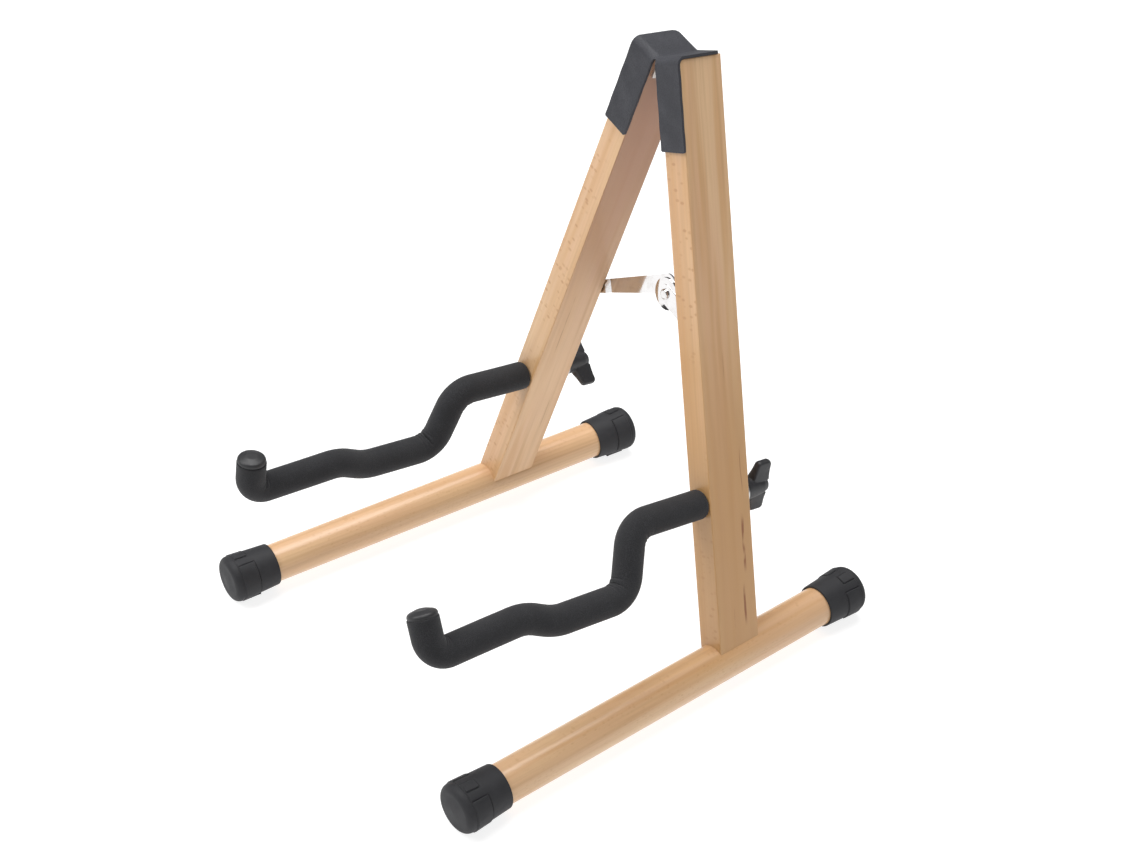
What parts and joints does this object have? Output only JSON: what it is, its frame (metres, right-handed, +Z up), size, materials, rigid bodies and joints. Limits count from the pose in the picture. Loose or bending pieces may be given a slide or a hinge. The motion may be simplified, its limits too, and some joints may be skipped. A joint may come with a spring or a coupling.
{
  "type": "folding guitar stand",
  "caption": "Folding wooden A-frame floor stand with foam-covered cradle arms, padded head, folding stay and round base bars with rubber caps.",
  "frame": {"origin": "on the floor, under the middle of the stand's overall box", "axes": "+Z up, -Y the way the cradle arms point (front), +X to the right seen from the front"},
  "size_m": [0.346, 0.3816, 0.4357],
  "materials": {
    "beech": "satin lacquered beech",
    "rubber": "matte moulded",
    "pad": "matte synthetic leather",
    "foam": "matte closed-cell foam",
    "plug": "matte",
    "knob": "satin moulded",
    "chrome": "polished",
    "steel": "zinc plated"
  },
  "bodies": {
    "left_frame": {"upright_left": "beech", "base_bar_left": "beech", "base_screw_left": "steel", "front_cap_left": "rubber", "rear_cap_left": "rubber", "hinge_leaf_left": "steel", "hinge_screws_left": "steel", "top_pad_left": "pad", "stay_spacer_left": "steel", "stay_screw_left": "steel", "rear_washer_left": "steel", "hinge_pin": "steel"},
    "right_frame": {"upright_right": "beech", "base_bar_right": "beech", "base_screw_right": "steel", "front_cap_right": "rubber", "rear_cap_right": "rubber", "hinge_leaf_right": "steel", "hinge_screws_right": "steel", "top_pad_right": "pad", "stay_spacer_right": "steel", "stay_screw_right": "steel", "rear_washer_right": "steel"},
    "stay_left": {"stay_link_left": "chrome", "stay_rivet_rear": "chrome"},
    "arm_left": {"arm_rod_left": "steel", "arm_collar_left": "steel", "foam_sleeve_left": "foam", "tip_plug_left": "plug"},
    "knob_left": {"wing_nut_left": "knob", "wing_nut_insert_left": "steel"},
    "stay_right": {"stay_link_right": "chrome", "stay_rivet_front": "chrome"},
    "arm_right": {"arm_rod_right": "steel", "arm_collar_right": "steel", "foam_sleeve_right": "foam", "tip_plug_right": "plug"},
    "knob_right": {"wing_nut_right": "knob", "wing_nut_insert_right": "steel"}
  },
  "joints": [
    {"name": "fold", "type": "hinge", "parent": "left_frame", "child": "right_frame", "pos_m": [0, 0.11613, 0.4208], "axis": [0, 0.9918, -0.1278], "range_deg": [0, 33.5]},
    {"name": "stay_left_swing", "type": "hinge", "parent": "left_frame", "child": "stay_left", "pos_m": [-0.08168, 0.10766, 0.21025], "axis": [0, -0.9918, 0.1278], "range_deg": [0, 41.43]},
    {"name": "stay_right_swing", "type": "hinge", "parent": "right_frame", "child": "stay_right", "pos_m": [0.08168, 0.10766, 0.21025], "axis": [0, 0.9918, -0.1278], "range_deg": [0, 41.43]},
    {"name": "arm_left_turn", "type": "hinge", "parent": "left_frame", "child": "arm_left", "pos_m": [-0.1071, 0.06079, 0.13599], "axis": [0, 0.9918, -0.1278], "range_deg": [-5, 90]},
    {"name": "arm_right_turn", "type": "hinge", "parent": "right_frame", "child": "arm_right", "pos_m": [0.1071, 0.06079, 0.13599], "axis": [0, -0.9918, 0.1278], "range_deg": [-5, 90]},
    {"name": "wing_nut_left_turn", "type": "hinge", "parent": "arm_left", "child": "knob_left", "pos_m": [-0.1071, 0.06079, 0.13599], "axis": [0, 0.9918, -0.1278], "continuous": true},
    {"name": "wing_nut_right_turn", "type": "hinge", "parent": "arm_right", "child": "knob_right", "pos_m": [0.1071, 0.06079, 0.13599], "axis": [0, 0.9918, -0.1278], "continuous": true}
  ],
  "couplings": [
    {"joint": "stay_left_swing", "follows": "fold", "ratio": 1.2337},
    {"joint": "stay_right_swing", "follows": "fold", "ratio": 1.2337}
  ]
}
